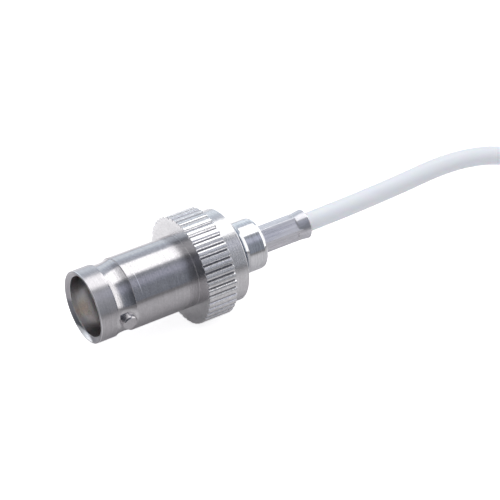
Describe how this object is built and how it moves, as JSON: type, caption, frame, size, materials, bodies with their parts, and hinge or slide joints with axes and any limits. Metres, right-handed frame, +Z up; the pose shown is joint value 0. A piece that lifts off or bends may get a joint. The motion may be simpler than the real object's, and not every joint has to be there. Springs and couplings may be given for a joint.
{
  "type": "coaxial bayonet jack on cable",
  "caption": "Straight round coaxial jack with two bayonet lugs, knurled ring and collar, crimped onto a thin white coaxial cable that is stored in a strapped hank.",
  "frame": {"origin": "centre of the front rim on the connector's axis", "axes": "+X along the axis from the mouth to the cable, +Z up; the two lugs lie nearly along Y"},
  "size_m": [0.1194, 0.0245, 0.0144],
  "materials": {
    "plated_body": "satin nickel plate over turned brass",
    "polished_body": "bright plate",
    "white_ptfe": "waxy white",
    "gold_contact": "gold plate",
    "ferrule": "satin plated tube with crimp flats",
    "braid": "silver plated wire",
    "cable_jacket": "smooth waxy white wrap",
    "tie_strap": "natural nylon strap"
  },
  "bodies": {
    "root": {"outer_body": "plated_body", "rear_body": "polished_body", "front_insulator": "white_ptfe", "rear_insulator": "white_ptfe", "socket_contact": "gold_contact", "crimp_ferrule": "ferrule", "cable_braid": "braid", "cable_dielectric": "white_ptfe", "centre_strands": "braid", "cable": "cable_jacket", "cable_hank": "cable_jacket", "hank_strap": "tie_strap"}
  },
  "joints": []
}
